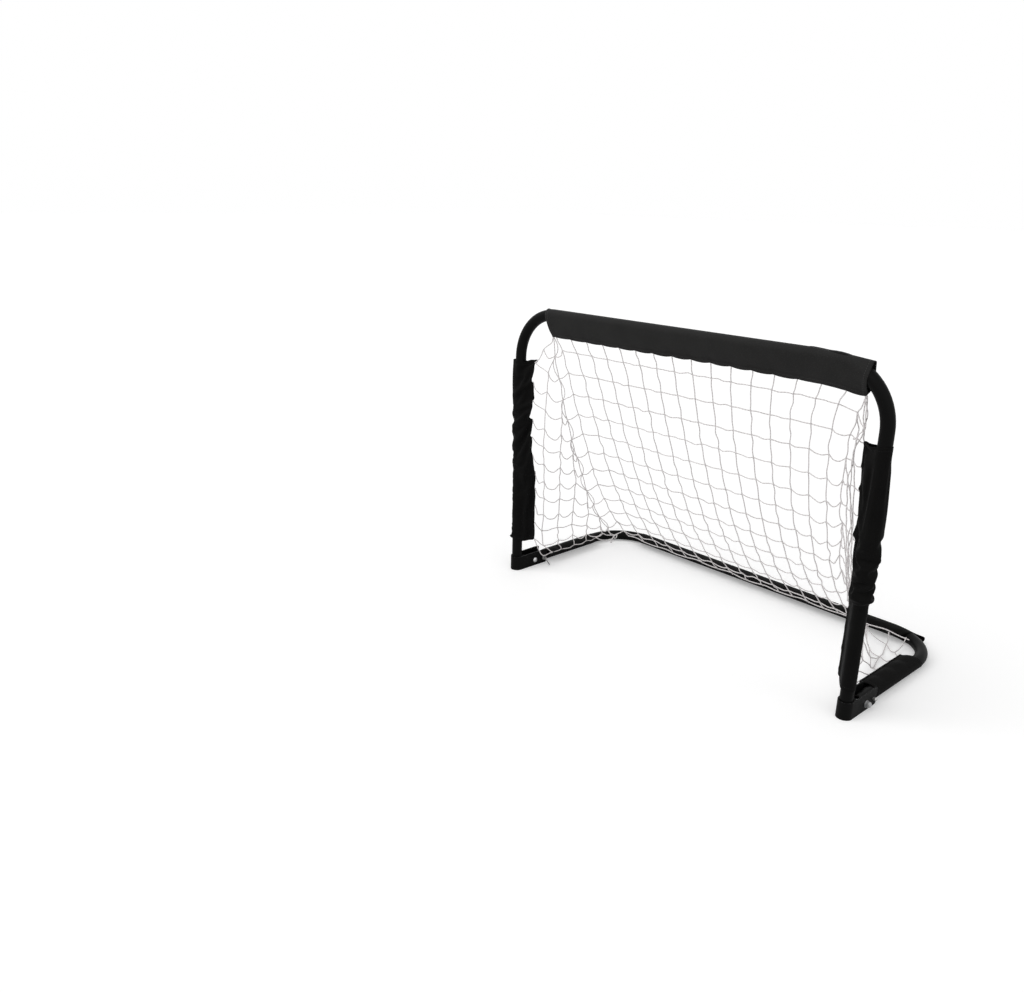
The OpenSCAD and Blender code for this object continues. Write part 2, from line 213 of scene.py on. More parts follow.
paint = Finish("floor_white")
camera_ray = paint.node("LightPath", {}, {}, "Is Camera Ray")
paint.surface(
    Base_Color=grey(0.86),
    Roughness=0.7,
    Emission_Color=(1, 1, 1, 1),
    Emission_Strength=camera_ray * 0.24,
)
floor.data.materials.append(paint.material)

# ---- Front and floor frames ----------------------------------------------------------
# Two U-shaped frames of 21 mm steel tube with a 1.2 mm wall, cold bent, powder coated
# satin black. The coat has a fine orange peel and picks up dust and faint rub marks.
enamel = Finish("black_enamel")
place = enamel.place()
cloud = enamel.grain(place, 14, 4)
rub = enamel.grain(enamel.stretched(place, (30, 30, 30)), 9, 6, 0.7)
marks = rub.above(0.62, 0.74) * cloud.above(0.5, 0.62)
enamel.surface(
    Base_Color=enamel.blend(marks * 0.4 + cloud * 0.15, grey(0.0022), grey(0.016, 0.02)),
    Roughness=0.34 + cloud * 0.14 + marks * 0.2,
    Specular_IOR_Level=0.05,
    Normal=enamel.relief(enamel.grain(place, 1400, 1), 0.00004, 0.5),
)


def coat(finish, *nodes):
    for node in nodes:
        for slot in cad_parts[node].material_slots:
            slot.material = finish.material


coat(enamel, "front_frame", "base_frame")

# ---- Foot brackets -------------------------------------------------------------------
# 2 mm sheet steel, pressed round the post with two cheeks beside the floor tube, spot
# welded to the post and coated with it. The coat is thin and worn along the cut edges.
sheet_coat = Finish("sheet_enamel")
place = sheet_coat.place()
cloud = sheet_coat.grain(place, 40, 4)
round_edge = sheet_coat.node("Bevel", {"samples": 6}, {"Radius": 0.0009})
flat_face = sheet_coat.node("NewGeometry", {}, {}, "Normal")
turned = 1 - sheet_coat.node(
    "VectorMath", {"operation": "DOT_PRODUCT"}, {0: round_edge, 1: flat_face}, "Value"
)
edge = turned.above(0.02, 0.2) * sheet_coat.grain(place, 420, 3).above(0.5, 0.62)
sheet_coat.surface(
    Base_Color=sheet_coat.blend(
        edge, sheet_coat.blend(cloud * 0.4, grey(0.0022), grey(0.009)), grey(0.16)
    ),
    Metallic=edge,
    Roughness=0.38 + cloud * 0.16 - edge * 0.1,
    Specular_IOR_Level=0.05,
    Normal=sheet_coat.relief(sheet_coat.grain(place, 900, 2), 0.00006, 0.6),
)
coat(sheet_coat, "left_bracket", "right_bracket")

# ---- Pivot bolts, washers and nuts ---------------------------------------------------
# M6 domed bolts with washers and lock nuts, zinc plated and passivated. The plate is
# bright, a little cloudy, with fine turning marks and grime where it meets the coat.
zinc = Finish("zinc_plate")
place = zinc.place()
cloud = zinc.grain(place, 300, 4)
fine = zinc.grain(zinc.stretched(place, (14, 1, 1)), 900, 3)
zinc.surface(
    Base_Color=zinc.blend(cloud.above(0.4, 0.7), (0.60, 0.61, 0.63, 1), (0.42, 0.42, 0.40, 1)),
    Metallic=1.0,
    Roughness=0.24 + cloud * 0.2,
    Normal=zinc.relief(fine, 0.00003, 0.6),
)
coat(
    zinc,
    "left_pivot_bolt",
    "right_pivot_bolt",
    "left_bolt_washer",
    "right_bolt_washer",
    "left_pivot_nut",
    "right_pivot_nut",
)

# ---- Lock pins and pull rings --------------------------------------------------------
# Turned steel pins with a tapered tip, a collar and a flattened eye, zinc plated; the
# rings are 1.8 mm spring wire, drawn and left dull.
turned_steel = Finish("turned_steel")
place = turned_steel.place()
lathe = turned_steel.node("SeparateXYZ", {}, {0: place}).wave(0.00035)
cloud = turned_steel.grain(place, 260, 3)
turned_steel.surface(
    Base_Color=turned_steel.blend(cloud, (0.56, 0.56, 0.57, 1), (0.40, 0.39, 0.37, 1)),
    Metallic=1.0,
    Roughness=0.26 + cloud * 0.16,
    Normal=turned_steel.relief(lathe, 0.00002, 0.5),
)
coat(turned_steel, "left_lock_pin", "right_lock_pin")

spring_wire = Finish("spring_wire")
place = spring_wire.place()
cloud = spring_wire.grain(place, 350, 4)
spring_wire.surface(
    Base_Color=spring_wire.blend(cloud, (0.30, 0.30, 0.31, 1), (0.17, 0.165, 0.16, 1)),
    Metallic=1.0,
    Roughness=0.36 + cloud * 0.2,
    Normal=spring_wire.relief(spring_wire.grain(place, 1500, 2), 0.00003, 0.6),
)
coat(spring_wire, "left_pull_ring", "right_pull_ring")

# ---- Post plugs ----------------------------------------------------------------------
# Polyethylene plugs, moulded with a fine spark-eroded grain and scuffed by the floor.
moulding = Finish("black_moulding")
place = moulding.place()
scuff = moulding.grain(moulding.stretched(place, (1, 4, 1)), 260, 4).above(0.55, 0.7)
moulding.surface(
    Base_Color=moulding.blend(scuff * 0.5, grey(0.012), grey(0.05)),
    Roughness=0.55 + scuff * 0.2,
    Normal=moulding.relief(moulding.grain(place, 2600, 1), 0.00005, 0.7),
)
coat(moulding, "left_post_plug", "right_post_plug")

# ---- Sleeve cloth --------------------------------------------------------------------
# Coated polyester, plain woven from 0.5 mm yarns, cut in strips, folded round the tubes
# and sewn to itself 5 mm above the hem. Slubs in the yarn glitter a little: painted
# highlights lighten the base colour there.
HEM_SEAM, END_SEAM = 0.0052, 0.006


def seam_line(off, at, run):
    """Dashes of thread along a line that lies the given distance off an edge."""
    near = 1 - (off - at).size().above(0.0002, 0.0006)
    return near * run.wave(0.0034).above(0.25, 0.5)


def woven(name, painted_light_level):
    """The cloth in one of its painted-light copies: colours, gloss and sheen scale with the given
    level; the bar's is painted lighter, as lit from above, the others darker, as in shade.
    """
    cloth = Finish(name)
    cut = cloth.node("UVMap", {"uv_map": "cut"}, {})
    along = cloth.node("SeparateXYZ", {}, {0: cut})
    girth = along.part("Y")
    two_yarns = 0.0011
    over = (along.wave(two_yarns) - 0.5) * (girth.wave(two_yarns) - 0.5) * 4
    yarns = over * 0.5 + 0.5
    slub = cloth.grain(cloth.stretched(cut, (90, 330, 1)), 4, 4, 0.6)
    shade = cloth.grain(cloth.place(), 22, 4)
    glint = slub.above(0.52, 0.7) * yarns.above(0.35, 0.8)

    edges = cloth.node("UVMap", {"uv_map": "edges"}, {})
    from_end = cloth.node("SeparateXYZ", {}, {0: edges})
    from_hem = from_end.part("Y")
    thread = seam_line(from_hem, HEM_SEAM, along).larger(seam_line(from_end, END_SEAM, girth))
    doubled = (1 - from_hem.above(0.0082, 0.0092)) + (1 - from_end.above(0.0076, 0.0084))
    near_seam = 1 - (from_hem - HEM_SEAM).size().above(0.0004, 0.005)
    pucker = near_seam * cloth.grain(cloth.stretched(cut, (1, 0.25, 1)), 260, 2)
    sewn = cloth.relief(slub * 0.3 + doubled * 0.5 + pucker * 1.6 + thread, 0.0006, 0.6)
    # painted highlight: glint lightens the base colour where slubs lie on raised yarns; shade adds
    # random mottling of the cloth's colour
    mottle_and_painted_glints = cloth.blend(
        glint * 0.6 + shade * 0.2, grey(0.007 * painted_light_level, 0.02), grey(0.058 * painted_light_level, 0.02)
    )
    cloth.surface(
        Base_Color=cloth.blend(thread * 0.5, mottle_and_painted_glints, grey(0.06 * painted_light_level)),
        Roughness=0.62 - glint * 0.16 + shade * 0.1,
        Specular_IOR_Level=0.1 * painted_light_level,
        Sheen_Weight=0.05 * painted_light_level,
        Sheen_Roughness=0.45,
        Normal=cloth.relief(yarns, 0.00012, 0.5, sewn),
    )
    return cloth


# painted light: one cloth in two copies, the crossbar's at full level and the post, rear and side
# sleeves painted in shade at 0.3 of it
bar_weave_painted_lit, sleeve_weave_painted_shade = woven("bar_weave_painted_lit", 1.0), woven("sleeve_weave_painted_shade", 0.3)

# the axes and bends of the tubes, which the cloth and the net are kept off
TUBE_R, HALF_W = 0.0105, 0.3795
POST_Y, BAR_Z, FRONT_BEND = -0.1616, 0.5445, 0.091
REAR_Y, FLOOR_Z, REAR_BEND = 0.1624, 0.012, 0.086


def off_tube(points, half_width, far, bend, centre, plane, clear):
    """Moves points out of a U-shaped tube that lies in the plane of x and the given axis."""
    x, t = points[:, 0], points[:, plane]
    bent = (np.abs(x) > half_width - bend) & (t > far - bend)
    cx, ct = np.sign(x) * (half_width - bend), far - bend
    dx, dt = x - cx, t - ct
    reach = np.hypot(dx, dt)
    reach = np.maximum(reach, 1e-9)
    near_x = np.where(bent, cx + dx * bend / reach, np.where(t > ct, x, np.sign(x) * half_width))
    near_t = np.where(bent, ct + dt * bend / reach, np.where(t > ct, far, t))
    nearest = np.empty_like(points)
    nearest[:, 0], nearest[:, plane], nearest[:, 3 - plane] = near_x, near_t, centre
    away = points - nearest
    distance = np.linalg.norm(away, axis=1)
    inside = distance < clear
    push = away * (clear / np.maximum(distance, 1e-9) - 1)[:, None]
    return inside, push


def off_front_frame(points, clear):
    return off_tube(points, HALF_W, BAR_Z, FRONT_BEND, POST_Y, 2, clear)


def off_base_frame(points, clear):
    return off_tube(points, HALF_W, REAR_Y, REAR_BEND, FLOOR_Z, 1, clear)


def settle(points, held, links, least, most, pull, steps, turns, touch):
    """Lets joined points come to rest: links keep their lengths between least and most.

    Links that share no point are mended together, so each gets a colour first.
    """
    links = np.asarray(links)
    used, colour = [], np.empty(len(links), int)
    for number, (a, b) in enumerate(links.tolist()):
        c = 0
        while c < len(used) and (a in used[c] or b in used[c]):
            c += 1
        if c == len(used):
            used.append(set())
        used[c].update((a, b))
        colour[number] = c
    groups = [
        (links[g, 0], links[g, 1], np.asarray(least)[g], np.asarray(most)[g])
        for g in (np.flatnonzero(colour == c) for c in range(len(used)))
    ]
    free = np.where(held, 0.0, 1.0)
    points = points.copy()
    speed = np.zeros_like(points)
    for _ in range(steps):
        speed = (speed * 0.96 + np.asarray(pull) / 120) * free[:, None]
        moved = points + speed / 120
        for _ in range(turns):
            for a, b, low, high in groups:
                gap = moved[b] - moved[a]
                length = np.sqrt((gap * gap).sum(1))
                weight = free[a] + free[b]
                wrong = length - np.clip(length, low, high)
                share = (wrong / np.maximum(length * weight, 1e-9))[:, None] * gap
                moved[a] += share * free[a][:, None]
                moved[b] -= share * free[b][:, None]
            touch(moved, points, free)
        speed = (moved - points) * 120
        points = moved
    return points


def loop_profile(drop, slack, count, skin, hem=0.0006):
    """Points round a loop of cloth: (out, down) from the hem's front to the hem's back."""
    low = np.array([hem, drop])
    centre = np.array([0.0, slack])
    gap = np.linalg.norm(low - centre)
    tangent = np.arctan2(low[1] - slack, low[0]) - np.arccos(skin / gap)
    arc = np.linspace(tangent, 0, 24)
    front = [low]
    front += [centre + skin * np.array([np.cos(a), np.sin(a)]) for a in arc]
    front += [skin * np.array([np.cos(a), -np.sin(a)]) for a in np.linspace(0, np.pi / 2, 24)]
    front = np.array(front)
    outline = np.vstack([front, (front * [-1, 1])[-2::-1]])
    run = np.r_[0, np.cumsum(np.linalg.norm(np.diff(outline, axis=0), axis=1))]
    at = np.linspace(0, run[-1], count)
    return np.stack([np.interp(at, run, outline[:, c]) for c in (0, 1)], 1), run[-1]


def strip(name, rows, girth_m, length_m, finish, thick=0.0008):
    """A piece of cloth from its rows of points, with its cut size as the map of the weave."""
    count, around = rows.shape[:2]
    mesh = bpy.data.meshes.new(name)
    number = np.arange(count * around).reshape(count, around)
    faces = np.stack(
        [number[:-1, :-1], number[1:, :-1], number[1:, 1:], number[:-1, 1:]], -1
    ).reshape(-1, 4)
    mesh.from_pydata(rows.reshape(-1, 3).tolist(), [], faces.tolist())
    lay = mesh.uv_layers.new(name="cut")
    corner = faces.ravel()
    at = np.stack(
        [corner // around * (length_m / (count - 1)), corner % around * (girth_m / (around - 1))], 1
    )
    lay.uv.foreach_set("vector", at.astype(np.float32).ravel())
    at = np.minimum(at, [length_m, girth_m] - at)
    mesh.uv_layers.new(name="edges").uv.foreach_set("vector", at.astype(np.float32).ravel())
    mesh.shade_smooth()
    piece = bpy.data.objects.new(name, mesh)
    bpy.context.collection.objects.link(piece)
    mesh.materials.append(finish.material)
    finer = piece.modifiers.new("finer", "SUBSURF")
    finer.levels = finer.render_levels = 1
    body = piece.modifiers.new("thickness", "SOLIDIFY")
    body.thickness = thick
    body.offset = 0
    return piece


def sew_sleeve(
    start, run, flap, ends, drop, slack, ease, tied, off_frame, pull, seed,
    skin=0.0113, loose=0.0, pitch=0.03, scallop=0.0, turned=None, sag=None, straight_from=9.0,
    steps=110,
):  # fmt: skip
    """Lays a loop of cloth round a tube, with the net tied to its hem, and lets it settle.

    start is the tube's axis at 0 along run; ends are the two cuts at the top of the loop
    and at the hem; ease(s) is cloth per length of tube, which starts in folds of the
    given pitch, with the loop looser there; tied is where the net holds the hem, and
    turned(s) is how far it turns it; sag(s) moves the loop along its flap.
    """
    cell, rub = 0.004, 0.3
    around = int(round(0.9 * drop / cell)) * 2 + 11
    (first_top, first_hem), (last_top, last_hem) = ends
    count = int(round((last_top - first_top) / cell)) + 1
    share = np.linspace(0, 1, count)
    stretch = ease(first_top + (last_top - first_top) * share)
    wide = skin + loose * np.clip((stretch - 1.02) / 0.05, 0, 1)
    made = [loop_profile(drop, slack, around, radius) for radius in wide]
    profile = np.array([outline for outline, _ in made])
    girth_m = float(np.mean([length for _, length in made]))
    run, flap = np.array(run, float), np.array(flap, float)
    out = np.cross(run, flap)
    low = (profile[..., 1] + wide[:, None]) / (drop + wide[:, None])
    first = first_top + (first_hem - first_top) * low
    last = last_top + (last_hem - last_top) * low
    s = first + (last - first) * share[:, None]
    angle = turned(s) if turned else 0 * s
    down = np.cos(angle)[..., None] * flap + np.sin(angle)[..., None] * out
    aside = np.cos(angle)[..., None] * out - np.sin(angle)[..., None] * flap
    rest = (
        np.array(start)
        + s[..., None] * run
        + profile[..., :1] * aside
        + profile[..., 1:] * down
    )
    if sag:
        rest += sag(s)[..., None] * down
    points = rest.reshape(-1, 3).copy()
    number = np.arange(count * around).reshape(count, around)
    links, least, most = [], [], []

    def join(a, b, factor, low_share, high_share):
        a, b = a.ravel(), b.ravel()
        length = np.linalg.norm(points[a] - points[b], axis=1) * factor
        links.append(np.stack([a, b], 1))
        least.append(length * low_share)
        most.append(length * high_share)

    between = ((stretch[1:] + stretch[:-1]) / 2)[:, None]
    join(number[:-1], number[1:], np.repeat(between, around, 1).ravel(), 0.98, 1.0)
    join(number[:, :-1], number[:, 1:], 1.0, 0.97 if loose == 0 else 0.9, 1.0)
    slant = np.repeat(between, around - 1, 1).ravel() ** 0.5
    join(number[:-1, :-1], number[1:, 1:], slant, 0.9, 1.05)
    join(number[1:, :-1], number[:-1, 1:], slant, 0.9, 1.05)
    twice = np.repeat(stretch[1:-1, None], around, 1).ravel()
    join(number[:-2], number[2:], twice, 0.86, 1.0)
    join(number[:, :-2], number[:, 2:], 1.0, 0.7, 1.1)
    for k, gap in ((0, 0.0012), (1, 0.0013)):
        a, b = number[:, k], number[:, around - 1 - k]
        links.append(np.stack([a, b], 1))
        least.append(np.full(count, 0.9 * gap))
        most.append(np.full(count, gap))
    held = np.zeros(len(points), bool)
    for place_s in tied:
        i = int(np.argmin(np.abs(s[:, 0] - place_s)))
        held[number[i, 0]] = held[number[i, -1]] = True
    top = around // 2
    for i in {0, count - 1, *np.flatnonzero(s[:, top] > straight_from).tolist()}:
        held[number[i, top - 1 : top + 2]] = True

    # the folds that the spare length starts in, deeper where more cloth is pushed together
    rng = np.random.default_rng(seed)
    depth = 1.6 * pitch * np.sqrt((stretch - 1).clip(0, 0.3)) / np.pi
    wander = np.cumsum(rng.normal(size=count) * 0.22)[:, None]
    lean_over = np.sin(np.linspace(-2.6, 2.6, around) + rng.uniform(0, 3, size=1))
    fold = 0.5 + 0.5 * np.cos(2 * np.pi * s / pitch + wander + 1.4 * lean_over[None, :])
    radial = profile[..., :1] * aside + (profile[..., 1:] - slack * 0.5) * down
    radial /= np.linalg.norm(radial, axis=2)[..., None]
    hem_side = np.clip((profile[..., 1:] - 0.7 * skin) / (drop - 0.9 * skin), 0, 1)
    push_out = radial * (1 - hem_side) + aside * hem_side * 0.6
    swell = (depth[:, None] * (fold - (0.55 if loose else 0)) + 0.0002)[..., None]
    to_tie = np.abs(s[:, :1] - np.asarray(tied)[None, :]).min(1) / (np.diff(tied).mean() / 2)
    bulge = (scallop * np.sin(to_tie.clip(0, 1) * np.pi / 2))[:, None, None] * hem_side**2
    points += (swell * push_out + bulge * down).reshape(-1, 3) * ~held[:, None]
    pairs = np.arange(2, int(0.8 * (drop - skin) / cell))
    front, back = number[:, pairs].ravel(), number[:, around - 1 - pairs].ravel()
    apart = np.repeat(aside[:, 0], len(pairs), axis=0)

    def touch(moved, before, free):
        # the tube pushes the cloth out and takes back a part of its slide along the tube
        inside, push = off_frame(moved, TUBE_R + 0.0006)
        inside &= free > 0
        push = push[inside]
        moved[inside] += push
        back_again = (before[inside] - moved[inside]) * rub
        outward = (back_again * push).sum(1) / np.maximum((push**2).sum(1), 1e-12)
        moved[inside] += back_again - outward[:, None] * push
        # the two sides of the flap lie on each other, and nothing goes into the floor
        gap = ((moved[front] - moved[back]) * apart).sum(1)
        short = np.maximum(0.0012 - gap, 0)[:, None] * apart / 2
        moved[front] += short * free[front][:, None]
        moved[back] -= short * free[back][:, None]
        moved[:, 2] = np.maximum(moved[:, 2], 0.0013)

    points = settle(
        points, held, np.vstack(links), np.hstack(least), np.hstack(most), pull, steps, 8, touch
    )
    rows = points.reshape(count, around, 3)
    length_m = float((np.diff(s.mean(1)) * (stretch[1:] + stretch[:-1]) / 2).sum())
    return rows, girth_m, length_m


def even(s):
    """A sleeve that is as long as the tube it covers, but for a little ease."""
    return np.ones_like(s) * 1.004


# ---- Crossbar sleeve -----------------------------------------------------------------
# The longest strip, 120 mm round. It hangs by its fold over the crossbar, runs 60 mm past
# the straight tube at the right and leaves an open mouth there; the net draws its hem down.
bar_ties = np.minimum(-0.285 + 0.0397 * np.arange(17), 0.3405)


def bar_ease(s):
    return 1.001 + 0.006 / (1 + np.exp((s + 0.03) / 0.03))


def bar_sag(s):
    """The cloth rides up a little in the middle of the bar and droops past the bend."""
    droop = 0.0065 * np.clip((s - 0.25) / 0.09, 0, 1.2) ** 1.3
    return droop - 0.0026 * np.exp(-(((s - 0.07) / 0.15) ** 2))


rows, girth_m, length_m = sew_sleeve(
    (0, POST_Y, BAR_Z),
    (1, 0, 0),
    (0, 0, -1),
    ((-0.305, -0.294), (0.348, 0.342)),
    0.0398,
    0.0165,
    bar_ease,
    bar_ties,
    off_front_frame,
    (0, 0.2, -1.5),
    3,
    pitch=0.045,
    scallop=0.001,
    sag=bar_sag,
    straight_from=0.245,
)
bar_cloth = strip("crossbar_cloth", rows, girth_m, length_m, bar_weave_painted_lit)
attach(bar_cloth, "front")
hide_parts("crossbar_sleeve")

# ---- Post sleeves --------------------------------------------------------------------
# Strips up to a sixth longer than the posts they cover, pushed together: the left one
# crumples in its upper half and the right one in its middle. The hems point inward.
POST_FLAP = 0.038
post_ties = {-1: 0.073 + 0.03745 * np.arange(11), 1: 0.058 + 0.037 * np.arange(11)}


def hem_turn(side, z):
    """How far the net draws a post sleeve's hem round towards the back of the goal."""
    if side < 0:
        low, high = 0.46 / (1 + np.exp((z - 0.24) / 0.015)), 0.1 / (1 + np.exp(-(z - 0.43) / 0.008))
        return low + high - 0.05
    return np.radians(38 - 24 / (1 + np.exp(-(z - 0.36) / 0.04)))


for side, name, cuts in (
    (-1, "left", ((0.073, 0.073), (0.4475, 0.458))),
    (1, "right", ((0.049, 0.052), (0.4345, 0.4345))),
):

    def ease(s, side=side):
        """Gathered in the left one's upper half, and in the middle of the right one."""
        if side < 0:
            gathered = 0.02 + 0.11 / (1 + np.exp(-(s - 0.27) / 0.015))
        else:
            gathered = 0.012 + 0.11 * np.exp(-(((s - 0.3) / 0.095) ** 6))
        return 1 + gathered * (1 + 0.35 * np.sin(s * 61 + side))

    rows, girth_m, length_m = sew_sleeve(
        (side * HALF_W, POST_Y, 0),
        (0, 0, 1),
        (-side, 0, 0),
        cuts,
        POST_FLAP,
        0.003,
        ease,
        post_ties[side],
        off_front_frame,
        (0, 0, -0.2),
        11 + side,
        skin=0.0165 if side < 0 else 0.0118,
        loose=0.0015 if side < 0 else 0.0085,
        pitch=0.030,
        scallop=0.0035,
        turned=lambda z, side=side: -side * hem_turn(side, z),
    )
    piece = strip(name + "_post_cloth", rows, girth_m, length_m, sleeve_weave_painted_shade)
    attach(piece, "front")
    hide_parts(name + "_post_sleeve")

# ---- Floor frame sleeves -------------------------------------------------------------
# Short loops: one along the rear tube with its hem forward, laced to the net, and one on
# each side of the floor frame with its hem up and inward.
rise = np.radians(12)
rear_ties = -0.324 + 0.044 * np.arange(17) - 0.00046 * np.arange(17) ** 2
rows, girth_m, length_m = sew_sleeve(
    (0, REAR_Y, FLOOR_Z),
    (1, 0, 0),
    (0, -np.cos(rise), np.sin(rise)),
    ((-0.3075, -0.303), (0.350, 0.316)),
    0.025,
    0.002,
    even,
    np.r_[rear_ties[1:], 0.3],
    off_base_frame,
    (0, -0.5, 0.2),
    21,
    skin=0.0117,
    straight_from=0.28,
)
rear_cloth = strip("rear_cloth", rows, girth_m, length_m, sleeve_weave_painted_shade)
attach(rear_cloth, "base")
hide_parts("rear_sleeve")

rise = np.radians(24)
side_ties = {
    -1: (-0.081, -0.078, -0.050, -0.010, 0.028, 0.060),
    1: (-0.080, -0.048, -0.010, 0.026, 0.060),
}
for side, name in ((-1, "left"), (1, "right")):
    rows, girth_m, length_m = sew_sleeve(
        (side * HALF_W, 0, FLOOR_Z),
        (0, 1, 0),
        (-side * np.cos(rise), 0, np.sin(rise)),
        ((-0.0814, -0.0805), (0.0764, 0.060)),
        0.0245,
        0.002,
        even,
        side_ties[side],
        off_base_frame,
        (-side * 0.3, 0, 0.3),
        31 + side,
        scallop=0.0008,
    )
    piece = strip(name + "_side_cloth", rows, girth_m, length_m, sleeve_weave_painted_shade)
    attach(piece, "base")
    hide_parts(name + "_side_sleeve")

# ---- Net -----------------------------------------------------------------------------
# Knotted from 2 mm braided polyethylene cord: a back of 16 by 13 meshes from the crossbar
# sleeve to the rear sleeve and two sides, joined to it along zigzag seams. It is made a
# little too big, so it hangs slack, and at the right it drops straight behind the post.
ROWS, COLUMNS = 13, 16
MESH = 0.0462
SIDE_HEM_X, SIDE_HEM_Z = 0.3580, 0.0222
side_cells = {
    -1: (0, 1, 2, 2, 3, 3, 4, 4, 4, 5, 5, 6, 6, 7),
    1: (0, 1, 2, 2, 3, 3, 3, 4, 4, 4, 4, 5, 5, 5),
}
knots, held, shown, number, cords = [], [], [], {}, []


def knot(key, point, fixed=False, drawn=None):
    """A place where cords meet; a fixed one is a tie on a sleeve, unless it is to be drawn."""
    number[key] = len(knots)
    knots.append(np.array(point, float))
    held.append(fixed)
    shown.append(not fixed if drawn is None else drawn)


def cord(a, b, length=None, ease=1.05):
    """A cord between two knots, of a given length or a little longer than their distance."""
    far = np.linalg.norm(knots[number[a]] - knots[number[b]])
    cords.append((number[a], number[b], length or far * ease))


def side_column(side, k):
    """The knots of the k-th upright cord of a side, from the seam down to the floor frame."""
    rows = [r for r in range(1, ROWS + 1) if side_cells[side][r] > k]
    return [("seam", side, r - 1) for r in rows[:1]] + [("side", side, r, k) for r in rows]


# where the right seam hangs, drawn inward by the side's weight
right_seam = np.array(
    [
        (0.3405, -0.1591, 0.4985), (0.3260, -0.1490, 0.4700), (0.3125, -0.1350, 0.4320),
        (0.3030, -0.1190, 0.3910), (0.2935, -0.1010, 0.3500), (0.2860, -0.0820, 0.3100),
        (0.2820, -0.0600, 0.2680), (0.2740, -0.0400, 0.2300), (0.2640, -0.0180, 0.1960),
        (0.2600, 0.0050, 0.1600), (0.2610, 0.0380, 0.1220), (0.2640, 0.0720, 0.0800),
        (0.2680, 0.1040, 0.0340), (0.2620, 0.1363, 0.0175),
    ]
)  # fmt: skip
for j in range(COLUMNS + 1):
    top = np.array([bar_ties[j], -0.1591, 0.505 - bar_sag(bar_ties[j])])
    low = np.array([rear_ties[j], 0.1363, 0.0175])
    for r in range(ROWS + 1):
        t = r / ROWS
        at = top + (low - top) * t - [0, 0, 0.03 * np.sin(np.pi * t)]
        if j == COLUMNS:
            knot(("back", r, j), right_seam[r], True, 0 < r < ROWS)
        else:
            knot(("back", r, j), at, r in (0, ROWS))
top, low = np.array([-0.2925, -0.1591, 0.505]), np.array([-0.345, 0.118, 0.020])
for r in range(ROWS + 1):
    t = r / ROWS
    knot(("seam", -1, r), top + (low - top) * t - [0, 0, 0.03 * np.sin(np.pi * t)], r in (0, ROWS))
    number["seam", 1, r] = number["back", r, COLUMNS]
for j in range(COLUMNS + 1):
    slack = 0.0006 * (j / 13) ** 2
    for r in range(ROWS):
        if j == COLUMNS:
            length = None
        elif r == 0:
            length = 0.0285 + 0.001 * np.sin(np.pi * j / COLUMNS)
        elif r == ROWS - 1:
            length = 0.034 if j < 14 else 0.036
        else:
            length = MESH + slack
        cord(("back", r, j), ("back", r + 1, j), length, 1.02)
for r in range(1, ROWS):
    for j in range(COLUMNS):
        t = r / ROWS
        even_x = (right_seam[r, 0] - knots[number["seam", -1, r]][0] - 0.026) / COLUMNS
        apart = (1 - t) * even_x + t * (rear_ties[j + 1] - rear_ties[j])
        length = 1.006 * apart if j < COLUMNS - 1 else min(apart, 0.03 + 0.0004 * r)
        cord(("back", r, j), ("back", r, j + 1), length)
    cord(("seam", -1, r), ("back", r, 0), 0.027)
for r in range(ROWS):
    cord(("seam", -1, r), ("seam", -1, r + 1), 0.0452 if r else 0.040)
for side in (-1, 1):
    for r in range(1, ROWS + 1):
        cells = side_cells[side][r]
        number["side", side, r, cells] = number["seam", side, r]
        if r < 2:
            continue
        seam = knots[number["seam", side, r]]
        if r < ROWS:
            z = post_ties[side][ROWS - 1 - r]
            angle = hem_turn(side, z)
            inward, backward = POST_FLAP * np.cos(angle), POST_FLAP * np.sin(angle)
            start = np.array([side * (HALF_W - inward), -0.1601 + backward, z])
            knot(("side", side, r, 0), start, True)
            for k in range(1, cells):
                knot(("side", side, r, k), start + (seam - start) * (k / cells) - [0, 0, 0.008])
    half_way = (-0.320, -0.157, 0.476) if side < 0 else (0.343, -0.156, 0.451)
    knot(("edge", side), half_way, True, True)
    cord(("seam", side, 0), ("edge", side), ease=1.02)
    cord(("edge", side), ("side", side, 2, 0), ease=1.03)
    cord(("edge", side), ("seam", side, 1), ease=1.04)
for k in range(6):
    knot(("side", -1, ROWS, k), (-SIDE_HEM_X, side_ties[-1][k], SIDE_HEM_Z), True)
knot(("side", -1, ROWS, 6), (-0.352, 0.097, 0.012))
# on the right the net's lower rows lie close to the floor, in front of the rear corner
for k, at in enumerate(
    (
        (SIDE_HEM_X, -0.080, SIDE_HEM_Z),
        (SIDE_HEM_X, -0.048, SIDE_HEM_Z),
        (0.338, 0.000, 0.010),
        (0.319, 0.036, 0.008),
        (0.300, 0.068, 0.007),
    )
):
    knot(("side", 1, ROWS, k), at, True, k > 1)
for key, at in (
    ("rear 17", (0.300, 0.1363, 0.0175)),
    ("rear 18", (0.332, 0.1363, 0.0190)),
    ("side 2", (SIDE_HEM_X, -0.010, SIDE_HEM_Z)),
    ("side 3", (SIDE_HEM_X, 0.030, SIDE_HEM_Z)),
    ("side 4", (SIDE_HEM_X, 0.060, SIDE_HEM_Z)),
):
    knot(key, at, True)
for key, at in (
    ("low 17", (0.311, 0.108, 0.006)),
    ("low 18", (0.337, 0.088, 0.008)),
    ("lower 17", (0.326, 0.056, 0.006)),
):
    knot(key, at, True, True)
